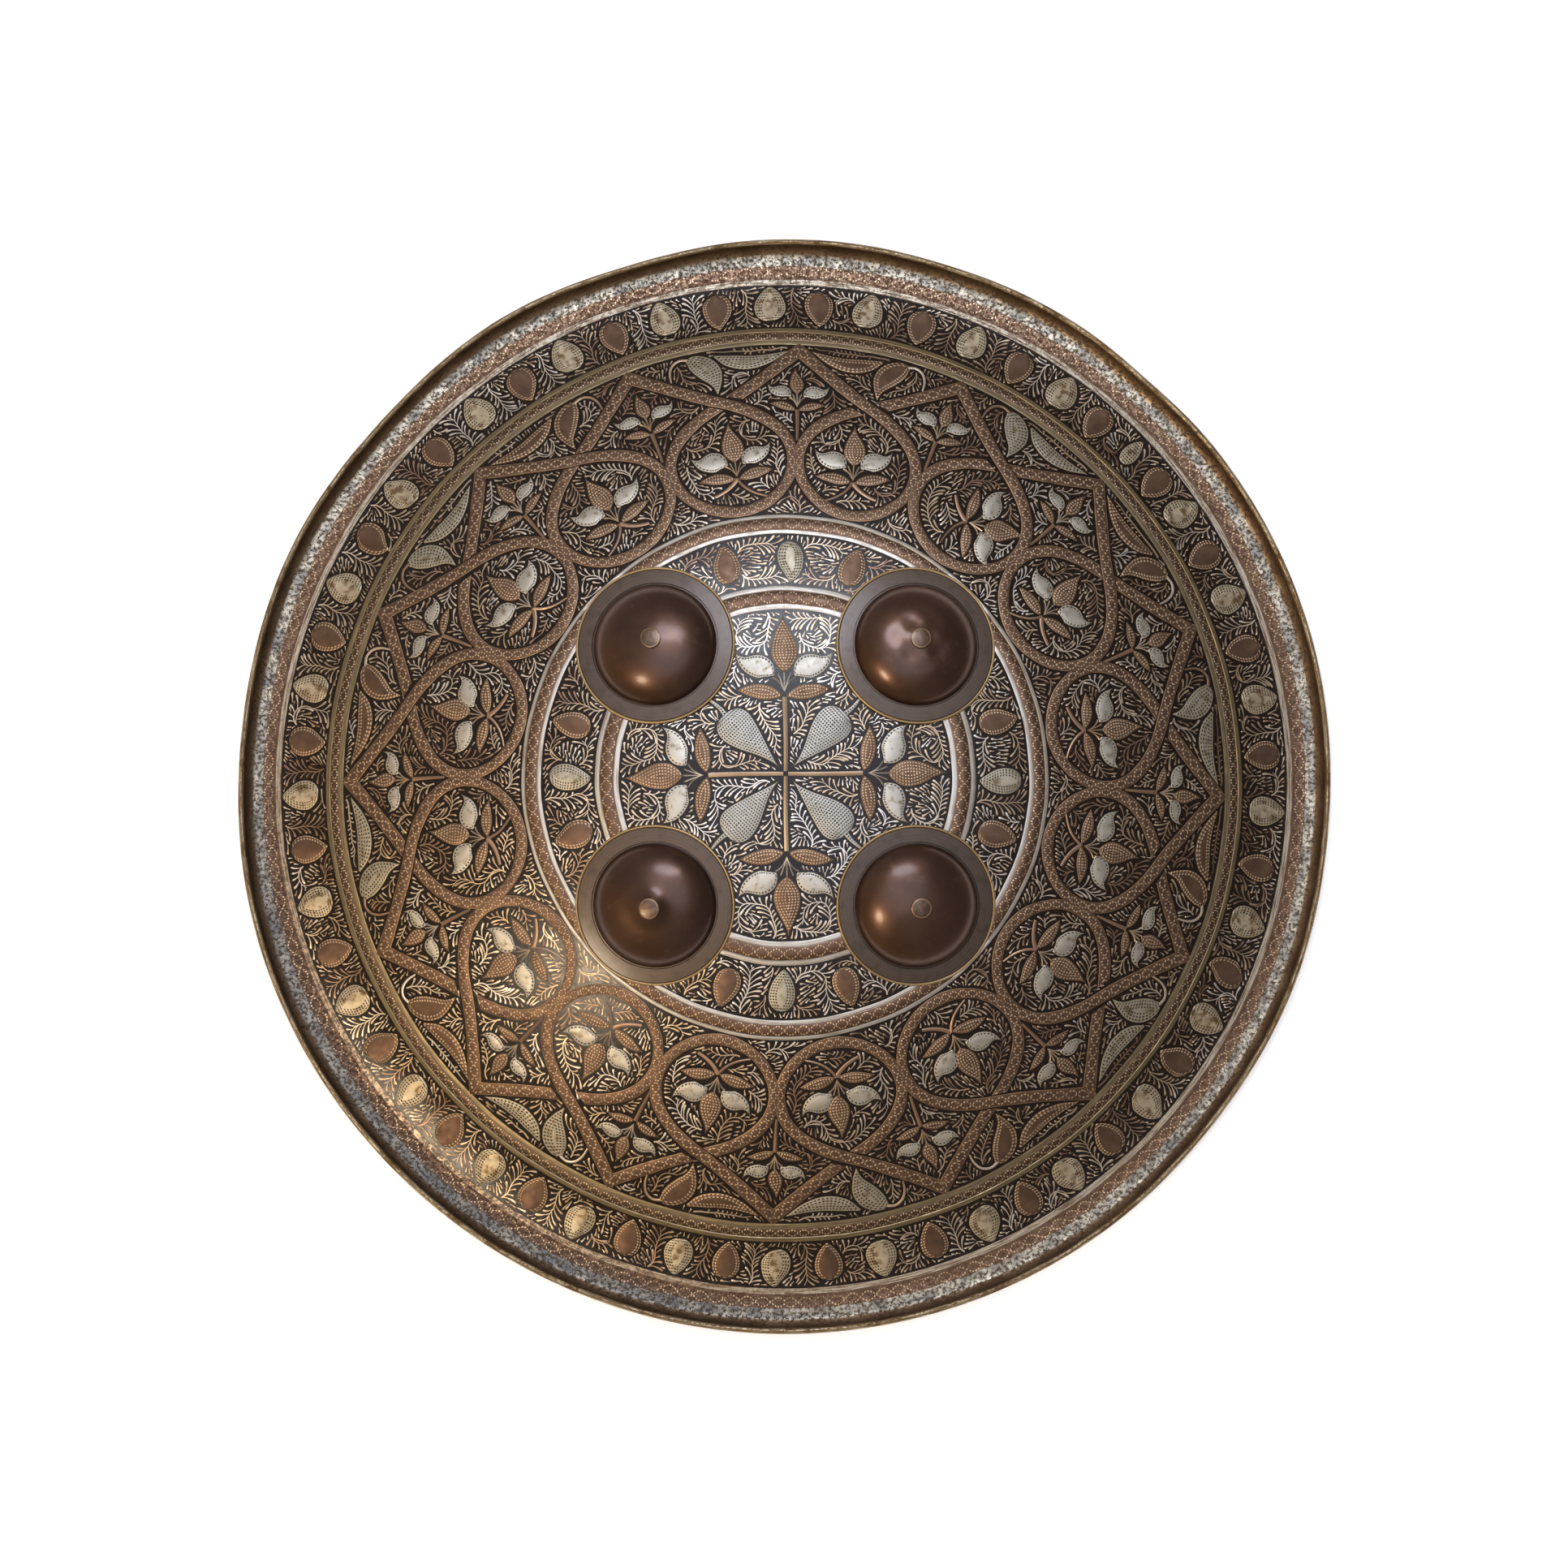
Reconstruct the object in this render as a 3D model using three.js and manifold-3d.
// A dhal: a round metal hand shield, raised from one sheet of brass, with four
// domed bosses held by pins whose back ends are eyes for the hand straps.
// Millimetres, +Z up. The shield lies face up on its rim: the origin is on the
// surface it lies on, under the middle of the dome, and +Y is the pattern's top.

import * as THREE from "three";
import { mergeVertices } from "three/addons/utils/BufferGeometryUtils.js";
import Module from "manifold-3d";

// The sheet and its profile, from the middle outwards. Radii are from the
// shield's axis, and a curve's radius is that of the front face.
const SHEET = 1.5; // thickness of the brass
const DOME_CURVE = 378; // the main dome is part of a sphere
const DOME_EDGE = 186; // where the dome turns into the sweep
const SWEEP_CURVE = 80; // hollow curve that flattens the border
const SWEEP_EDGE = 210;
const TOE_CURVE = 20; // last turn, down to level
const FLAT_EDGE = 217.6; // the level ring that the shield lies on ends here
const COVE_CURVE = 5; // the lip turns up in a small cove
const COVE_TURN = THREE.MathUtils.degToRad(72);
const BEAD_RADIUS = 1.25; // rolled edge on top of the lip
const BEAD_RING = 223.75;
const BEAD_LIFT = 5.1; // centre of the roll above the level ring's face
const BEAD_FROM = -1.7; // where the roll leaves the cove's front and back face,
const BEAD_TO = 2.9; // as angles from straight up, in radians

// Places where the rim was knocked in: direction, depth and half-width.
// Directions run anticlockwise from +X, as seen from the front.
const RIM_DENTS = [
  { direction: 354, depth: 1.2, spread: 10 },
  { direction: 48, depth: 1.1, spread: 4 },
  { direction: 73, depth: 0.5, spread: 4 },
  { direction: 107, depth: 1.7, spread: 7 },
  { direction: 138, depth: 1.8, spread: 8 },
  { direction: 174, depth: 1.6, spread: 11 },
  { direction: 232, depth: 0.6, spread: 22 },
  { direction: 322, depth: 1.0, spread: 9 },
];
const DENT_FROM = 204; // dents fade out inside this radius

// Bosses and pins.
const BOSS_PLACE = 52.5; // each boss is this far from the middle in X and in Y
const BOSS_SHEET = 1.2;
const BOSS_FLANGE = 32.2; // outer radius
const BOSS_DOME = 24.9; // radius of the dome where it meets the flange
const BOSS_HEIGHT = 10.5; // of the dome above the flange
const NIPPLE_HEIGHT = 3.6; // one boss is drawn up to a blunt point
const NIPPLE_SPREAD = 5.2;
const SEAT_GAP = 0.3; // between pieces that rest on each other
const PIN_RADIUS = 2.25;
const HOLE_RADIUS = 2.65; // in the bosses and the sheet
const PIN_HEAD = 4.2; // radius of the hammered-over head
const PIN_HEAD_HEIGHT = 1.5;
const COLLAR_RADIUS = 5; // shoulder behind the sheet
const COLLAR_HEIGHT = 1.4;
const NECK_LENGTH = 2.2;
const EYE_RADIUS = 8; // of the ring's centreline
const EYE_WIRE = 1.75;

// How finely round things are divided.
const SHIELD_STEPS = 72;
const PROFILE_STEPS = { dome: 7, sweep: 3, toe: 1, cove: 3, bead: 5 };
const BOSS_STEPS = 24;
const BOSS_TURNS = [0, 0.32, 0.64, 0.94, 1.22, 1.42]; // angles from its top, in radians
const PIN_STEPS = 12;
const EYE_STEPS = { round: 6, along: 16 };

const wasm = await Module();
wasm.setup();

// A closed geometry as a solid for joining and cutting, and back again.
function toSolid(geometry) {
  const bare = geometry.clone();
  bare.deleteAttribute("normal");
  bare.deleteAttribute("uv");
  const merged = mergeVertices(bare, 1e-4);
  return new wasm.Manifold(
    new wasm.Mesh({
      numProp: 3,
      vertProperties: merged.attributes.position.array,
      triVerts: new Uint32Array(merged.index.array),
    }),
  );
}

function toGeometry(solid) {
  const mesh = solid.getMesh();
  const geometry = new THREE.BufferGeometry();
  geometry.setAttribute("position", new THREE.BufferAttribute(mesh.vertProperties, 3));
  geometry.setIndex(new THREE.BufferAttribute(mesh.triVerts, 1));
  geometry.computeVertexNormals();
  return geometry;
}

// Points on an arc about a centre. The angle is from straight up, towards +r.
function arc(centreR, centreZ, radius, from, to, steps) {
  const points = [];
  for (let i = 0; i <= steps; i += 1) {
    const angle = from + ((to - from) * i) / steps;
    points.push(
      new THREE.Vector2(centreR + radius * Math.sin(angle), centreZ + radius * Math.cos(angle)),
    );
  }
  return points;
}

// A profile of (radius, height) points turned about Z. The profile runs from the
// axis over the upper side, out, and back underneath to the axis.
function turned(profile, steps) {
  const downUp = [...profile].reverse();
  const geometry = new THREE.LatheGeometry(downUp, steps);
  geometry.rotateX(Math.PI / 2);
  return geometry;
}

// Drops a point that repeats the one before it, as where two arcs meet.
function withoutRepeats(points) {
  return points.filter((p, i) => i === 0 || p.distanceTo(points[i - 1]) > 1e-4);
}

// Slopes of the front face where one curve hands over to the next, and the
// centres that follow from them.
const domeSlope = Math.asin(DOME_EDGE / DOME_CURVE);
const sweepCentreR = DOME_EDGE + SWEEP_CURVE * Math.sin(domeSlope);
const sweepSlope = Math.asin((sweepCentreR - SWEEP_EDGE) / SWEEP_CURVE);
const toeCentreR = SWEEP_EDGE + TOE_CURVE * Math.sin(sweepSlope);
const toeCentreZ = SHEET + TOE_CURVE;
const sweepEdgeZ = toeCentreZ - TOE_CURVE * Math.cos(sweepSlope);
const sweepCentreZ = sweepEdgeZ + SWEEP_CURVE * Math.cos(sweepSlope);
const domeEdgeZ = sweepCentreZ - SWEEP_CURVE * Math.cos(domeSlope);
const domeCentreZ = domeEdgeZ - DOME_CURVE * Math.cos(domeSlope);
const coveCentreZ = SHEET + COVE_CURVE;

// One face of the sheet from the middle to the top of the cove. The back face is
// the same curves, a sheet's thickness further in.
function sheetFace(depth) {
  const down = Math.PI;
  const sweepFrom = down + domeSlope;
  const sweepTo = down + sweepSlope;
  const sweep = SWEEP_CURVE + depth;
  const toe = TOE_CURVE + depth;
  const cove = COVE_CURVE + depth;
  return [
    ...arc(0, domeCentreZ, DOME_CURVE - depth, 0, domeSlope, PROFILE_STEPS.dome),
    ...arc(sweepCentreR, sweepCentreZ, sweep, sweepFrom, sweepTo, PROFILE_STEPS.sweep),
    ...arc(toeCentreR, toeCentreZ, toe, sweepTo, down, PROFILE_STEPS.toe),
    ...arc(FLAT_EDGE, coveCentreZ, cove, down, down - COVE_TURN, PROFILE_STEPS.cove),
  ];
}

function bowlProfile() {
  const beadZ = SHEET + BEAD_LIFT;
  const bead = arc(BEAD_RING, beadZ, BEAD_RADIUS, BEAD_FROM, BEAD_TO, PROFILE_STEPS.bead);
  return withoutRepeats([...sheetFace(0), ...bead, ...sheetFace(SHEET).reverse()]);
}

// Pushes the rim inwards at each dent, and leaves the rest of the bowl round.
function dentRim(geometry) {
  const position = geometry.getAttribute("position");
  for (let i = 0; i < position.count; i += 1) {
    const x = position.getX(i);
    const y = position.getY(i);
    const radius = Math.hypot(x, y);
    const share = THREE.MathUtils.smoothstep(radius, DENT_FROM, BEAD_RING);
    if (share === 0) continue;
    const direction = THREE.MathUtils.radToDeg(Math.atan2(y, x));
    let push = 0;
    for (const dent of RIM_DENTS) {
      const away = THREE.MathUtils.euclideanModulo(direction - dent.direction + 180, 360) - 180;
      push += dent.depth * Math.exp(-((away / dent.spread) ** 2) / 2);
    }
    const scale = (radius - push * share) / radius;
    position.setXY(i, x * scale, y * scale);
  }
  return geometry;
}

// Where a boss stands, and which way it faces: square to the dome.
function bossFrame(signX, signY) {
  const out = Math.hypot(BOSS_PLACE, BOSS_PLACE);
  const lift = Math.sqrt(DOME_CURVE ** 2 - out ** 2);
  const seat = new THREE.Vector3(signX * BOSS_PLACE, signY * BOSS_PLACE, domeCentreZ + lift);
  const facing = new THREE.Vector3(seat.x, seat.y, lift).normalize();
  const frame = new THREE.Group();
  frame.position.copy(seat);
  frame.quaternion.setFromUnitVectors(new THREE.Vector3(0, 0, 1), facing);
  frame.updateMatrix();
  return frame;
}

// Height of a boss's outer face above its seat, at a distance from its axis. The
// flange follows the dome of the shield, and its own dome is a flattened bowl.
function shieldFall(radius) {
  return DOME_CURVE - Math.sqrt(DOME_CURVE ** 2 - radius ** 2);
}

function bossFace(radius, domeRadius, height, nipple) {
  const inside = Math.max(0, 1 - (radius / domeRadius) ** 2);
  const point = nipple * Math.exp(-((radius / NIPPLE_SPREAD) ** 2));
  return height * Math.sqrt(inside) + (inside > 0 ? point : 0) - shieldFall(radius);
}

function bossProfile(nipple) {
  const outer = [];
  const inner = [];
  const innerDome = BOSS_DOME - BOSS_SHEET;
  for (const turn of BOSS_TURNS) {
    const outerR = Math.max(HOLE_RADIUS, BOSS_DOME * Math.sin(turn));
    const innerR = Math.max(HOLE_RADIUS, innerDome * Math.sin(turn));
    const outerZ = bossFace(outerR, BOSS_DOME, BOSS_HEIGHT, nipple);
    const innerZ = bossFace(innerR, innerDome, BOSS_HEIGHT - BOSS_SHEET, nipple);
    outer.push(new THREE.Vector2(outerR, SEAT_GAP + BOSS_SHEET + outerZ));
    inner.push(new THREE.Vector2(innerR, SEAT_GAP + BOSS_SHEET + innerZ));
  }
  for (const radius of [BOSS_DOME, BOSS_FLANGE]) {
    outer.push(new THREE.Vector2(radius, SEAT_GAP + BOSS_SHEET - shieldFall(radius)));
  }
  for (const radius of [innerDome, BOSS_FLANGE]) {
    inner.push(new THREE.Vector2(radius, SEAT_GAP - shieldFall(radius)));
  }
  return withoutRepeats([...outer, ...inner.reverse(), outer[0]]);
}

function bossTop(nipple) {
  return SEAT_GAP + BOSS_SHEET + bossFace(HOLE_RADIUS, BOSS_DOME, BOSS_HEIGHT, nipple);
}

// A pin: its head is hammered over on the boss, its shank goes through the boss
// and the sheet, and behind the sheet are a collar and an eye.
function pinGeometry(nipple) {
  const headZ = bossTop(nipple) + SEAT_GAP;
  const collarZ = -SHEET - SEAT_GAP;
  const neckZ = collarZ - COLLAR_HEIGHT - NECK_LENGTH;
  const body = turned(
    [
      new THREE.Vector2(0, headZ + PIN_HEAD_HEIGHT),
      new THREE.Vector2(PIN_HEAD * 0.62, headZ + PIN_HEAD_HEIGHT * 0.86),
      new THREE.Vector2(PIN_HEAD, headZ + PIN_HEAD_HEIGHT * 0.3),
      new THREE.Vector2(PIN_HEAD, headZ),
      new THREE.Vector2(PIN_RADIUS, headZ),
      new THREE.Vector2(PIN_RADIUS, collarZ),
      new THREE.Vector2(COLLAR_RADIUS, collarZ),
      new THREE.Vector2(COLLAR_RADIUS * 0.86, collarZ - COLLAR_HEIGHT),
      new THREE.Vector2(PIN_RADIUS, collarZ - COLLAR_HEIGHT),
      new THREE.Vector2(PIN_RADIUS, neckZ),
      new THREE.Vector2(0, neckZ),
    ],
    PIN_STEPS,
  );
  const eye = new THREE.TorusGeometry(EYE_RADIUS, EYE_WIRE, EYE_STEPS.round, EYE_STEPS.along);
  eye.rotateY(Math.PI / 2);
  eye.translate(0, 0, neckZ - EYE_RADIUS + EYE_WIRE / 2);
  return toGeometry(toSolid(body).add(toSolid(eye)));
}

// The hole for a pin, long enough to pass the whole sheet.
function pinHole(frame) {
  const hole = new THREE.CylinderGeometry(HOLE_RADIUS, HOLE_RADIUS, 8 * SHEET, PIN_STEPS);
  hole.rotateX(Math.PI / 2);
  hole.applyMatrix4(frame.matrix);
  return hole;
}

const brass = new THREE.MeshStandardMaterial({ color: 0x6e5a42, roughness: 0.45, metalness: 1 });
const bronze = new THREE.MeshStandardMaterial({ color: 0x6b4a36, roughness: 0.35, metalness: 1 });
const pinBrass = new THREE.MeshStandardMaterial({ color: 0x86684c, roughness: 0.5, metalness: 1 });

const corners = [
  { name: "top_left", x: -1, y: 1, nipple: 0 },
  { name: "top_right", x: 1, y: 1, nipple: 0 },
  { name: "bottom_left", x: -1, y: -1, nipple: NIPPLE_HEIGHT },
  { name: "bottom_right", x: 1, y: -1, nipple: 0 },
];

const shield = new THREE.Group();
let bowl = toSolid(dentRim(turned(bowlProfile(), SHIELD_STEPS)));
for (const corner of corners) {
  const frame = bossFrame(corner.x, corner.y);
  bowl = bowl.subtract(toSolid(pinHole(frame)));

  const boss = new THREE.Mesh(turned(bossProfile(corner.nipple), BOSS_STEPS), bronze);
  boss.name = `boss_${corner.name}`;
  const pin = new THREE.Mesh(pinGeometry(corner.nipple), pinBrass);
  pin.name = `pin_${corner.name}`;
  frame.add(boss, pin);
  shield.add(frame);
}

const bowlMesh = new THREE.Mesh(toGeometry(bowl), brass);
bowlMesh.name = "shield_bowl";
shield.add(bowlMesh);

export default shield;
